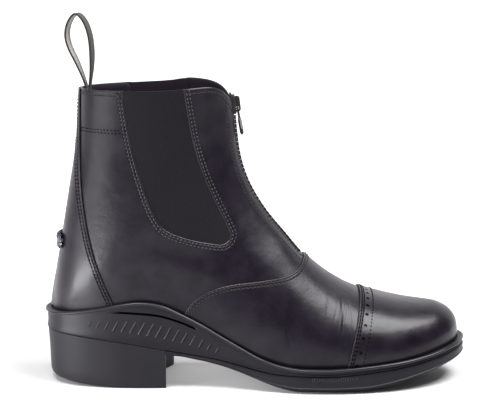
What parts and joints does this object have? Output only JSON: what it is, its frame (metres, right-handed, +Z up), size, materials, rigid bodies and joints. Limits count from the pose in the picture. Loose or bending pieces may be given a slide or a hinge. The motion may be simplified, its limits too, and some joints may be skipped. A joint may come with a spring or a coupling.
{
  "type": "jodhpur boot",
  "caption": "Black leather jodhpur boot with a punched toe cap, elastic side gussets, a front zip, a webbing pull loop, a braided spur rest and a ribbed rubber cup sole with a low heel.",
  "frame": {"origin": "on the floor, midway along the sole's length and across its width", "axes": "+X from heel to toe, +Y to the inner side of the foot, +Z up"},
  "size_m": [0.278, 0.0989, 0.24],
  "materials": {
    "black_leather": "smooth polished leather",
    "black_elastic": "fine ribbed elastic",
    "black_cloth": "matte cloth",
    "grey_webbing": "woven webbing",
    "black_rubber": "matte moulded rubber",
    "dark_metal": "dark satin metal"
  },
  "bodies": {
    "boot": {"upper": "black_leather", "vamp": "black_leather", "toe_cap": "black_leather", "backstay": "black_leather", "spur_rest": "black_leather", "gusset_outer": "black_elastic", "gusset_inner": "black_elastic", "pull_loop": "grey_webbing", "zip_tape": "black_cloth", "zip_chain": "dark_metal", "zip_slider": "dark_metal", "midsole": "black_rubber", "outsole": "black_rubber", "heel": "black_rubber", "insole": "black_cloth"},
    "zip_pull_tab": {"zip_pull": "dark_metal"}
  },
  "joints": [
    {"name": "zip_pull_swing", "type": "hinge", "parent": "boot", "child": "zip_pull_tab", "pos_m": [-0.01178, 0.00017, 0.17854], "axis": [0, -1, 0], "range_deg": [0, 130]}
  ]
}
